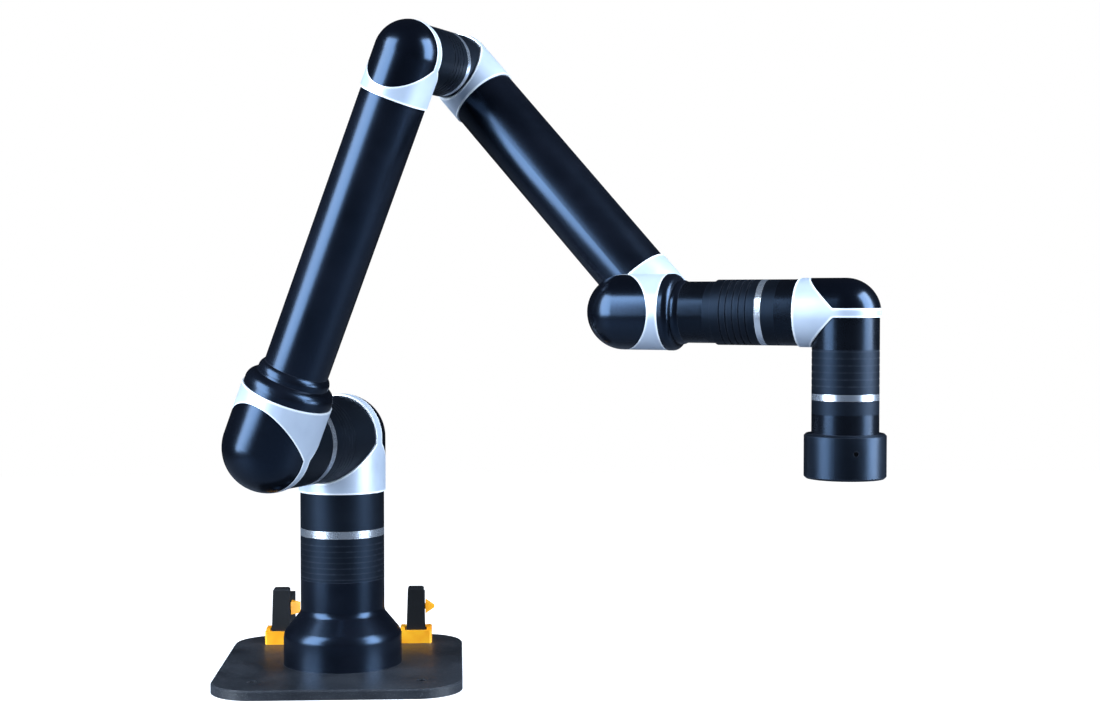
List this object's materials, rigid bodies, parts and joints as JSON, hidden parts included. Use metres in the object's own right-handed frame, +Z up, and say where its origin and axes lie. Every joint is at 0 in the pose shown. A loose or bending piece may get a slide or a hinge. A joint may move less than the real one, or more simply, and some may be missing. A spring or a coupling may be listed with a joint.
{
  "type": "robot arm",
  "caption": "Desk-mounted six-axis articulated robot arm with gloss black tubes, bright cast elbows, a round tool flange and a clamped base plate.",
  "frame": {"origin": "underside of the base plate, at the centre of its four bolt holes", "axes": "+Z up, along the column; +Y towards the plate's clamped back edge; +X to the right seen from the front"},
  "size_m": [0.5545, 0.5471, 0.6748],
  "materials": {
    "plate_black": "semi-gloss powder coat, fine speckle",
    "screw_steel": "blackened steel",
    "casting_silver": "satin bright",
    "cap_black": "high gloss",
    "drive_steel": "machined",
    "flange_black": "satin anodised",
    "socket_black": "matte",
    "clamp_orange": "satin",
    "clamp_steel": "brushed",
    "clamp_black": "satin",
    "tube_black": "satin gloss paint",
    "housing_black": "satin paint"
  },
  "bodies": {
    "base": {"base_plate": "plate_black", "foot_screws": "screw_steel", "column_bell": "tube_black", "cable_socket": "socket_black", "joint1_housing": "housing_black", "joint1_ring": "casting_silver", "joint1_drive": "drive_steel", "clamp_head_left": "clamp_black", "clamp_head_right": "clamp_black", "clamp_pad_left": "clamp_orange", "clamp_pad_right": "clamp_orange", "clamp_bar_left": "clamp_steel", "clamp_bar_right": "clamp_steel"},
    "clamp_jaw_left": {"clamp_jaw_left": "clamp_black", "clamp_jaw_pad_left": "clamp_orange"},
    "clamp_jaw_right": {"clamp_jaw_right": "clamp_black", "clamp_jaw_pad_right": "clamp_orange"},
    "clamp_knob_left": {"clamp_knob_left": "clamp_orange"},
    "clamp_knob_right": {"clamp_knob_right": "clamp_orange"},
    "shoulder": {"joint1_output": "housing_black", "shoulder_elbow_casting": "casting_silver", "shoulder_elbow_dome_cap": "cap_black", "joint2_housing": "housing_black", "joint2_ring": "casting_silver", "joint2_drive": "drive_steel"},
    "upper_arm": {"joint2_output": "housing_black", "upper_arm_lower_elbow_casting": "casting_silver", "upper_arm_lower_elbow_dome_cap": "cap_black", "upper_arm_collar": "tube_black", "upper_arm_tube": "tube_black", "upper_arm_upper_elbow_casting": "casting_silver", "upper_arm_upper_elbow_dome_cap": "cap_black", "joint3_housing": "housing_black", "joint3_ring": "casting_silver", "joint3_drive": "drive_steel"},
    "forearm": {"joint3_output": "housing_black", "forearm_upper_elbow_casting": "casting_silver", "forearm_upper_elbow_dome_cap": "cap_black", "forearm_tube": "tube_black", "forearm_lower_elbow_casting": "casting_silver", "forearm_lower_elbow_dome_cap": "cap_black", "joint4_housing": "housing_black", "joint4_ring": "casting_silver", "joint4_drive": "drive_steel"},
    "wrist_1": {"joint4_output": "housing_black", "wrist_elbow_casting": "casting_silver", "wrist_elbow_dome_cap": "cap_black", "wrist_collar": "tube_black", "joint5_housing": "housing_black", "joint5_ring": "casting_silver", "joint5_drive": "drive_steel"},
    "wrist_2": {"joint5_output": "housing_black", "tool_elbow_casting": "casting_silver", "tool_elbow_dome_cap": "cap_black", "joint6_housing": "housing_black", "joint6_ring": "casting_silver", "joint6_drive": "drive_steel"},
    "tool": {"joint6_output": "housing_black", "tool_flange": "flange_black", "flange_grub_screw": "screw_steel"}
  },
  "joints": [
    {"name": "base_turn", "type": "hinge", "parent": "base", "child": "shoulder", "pos_m": [0, -0.006, 0.139], "axis": [0, 0, 1], "range_deg": [-178, 178]},
    {"name": "shoulder_lift", "type": "hinge", "parent": "shoulder", "child": "upper_arm", "pos_m": [-0.05799, -0.11786, 0.226], "axis": [0.4602, 0.8878, 0], "range_deg": [-105, 60]},
    {"name": "elbow_bend", "type": "hinge", "parent": "upper_arm", "child": "forearm", "pos_m": [0.112, -0.10235, 0.56638], "axis": [-0.4602, -0.8878, 0], "range_deg": [-10, 245]},
    {"name": "wrist_bend", "type": "hinge", "parent": "forearm", "child": "wrist_1", "pos_m": [0.24595, -0.27766, 0.3478], "axis": [-0.4602, -0.8878, 0], "range_deg": [-130, 150]},
    {"name": "wrist_roll", "type": "hinge", "parent": "wrist_1", "child": "wrist_2", "pos_m": [0.35479, -0.33408, 0.3478], "axis": [0.8878, -0.4602, 0], "range_deg": [-178, 178]},
    {"name": "tool_turn", "type": "hinge", "parent": "wrist_2", "child": "tool", "pos_m": [0.40797, -0.36165, 0.2802], "axis": [0, 0, -1], "range_deg": [-178, 178]},
    {"name": "jaw_slide_left", "type": "slide", "parent": "base", "child": "clamp_jaw_left", "axis": [0, 0, 1], "range_m": [-0.012, 0.02]},
    {"name": "knob_turn_left", "type": "hinge", "parent": "base", "child": "clamp_knob_left", "pos_m": [-0.06, 0.09, 0.045], "axis": [1, 0, 0], "range_deg": [-170, 170]},
    {"name": "jaw_slide_right", "type": "slide", "parent": "base", "child": "clamp_jaw_right", "axis": [0, 0, 1], "range_m": [-0.012, 0.02]},
    {"name": "knob_turn_right", "type": "hinge", "parent": "base", "child": "clamp_knob_right", "pos_m": [0.076, 0.09, 0.045], "axis": [1, 0, 0], "range_deg": [-170, 170]}
  ]
}
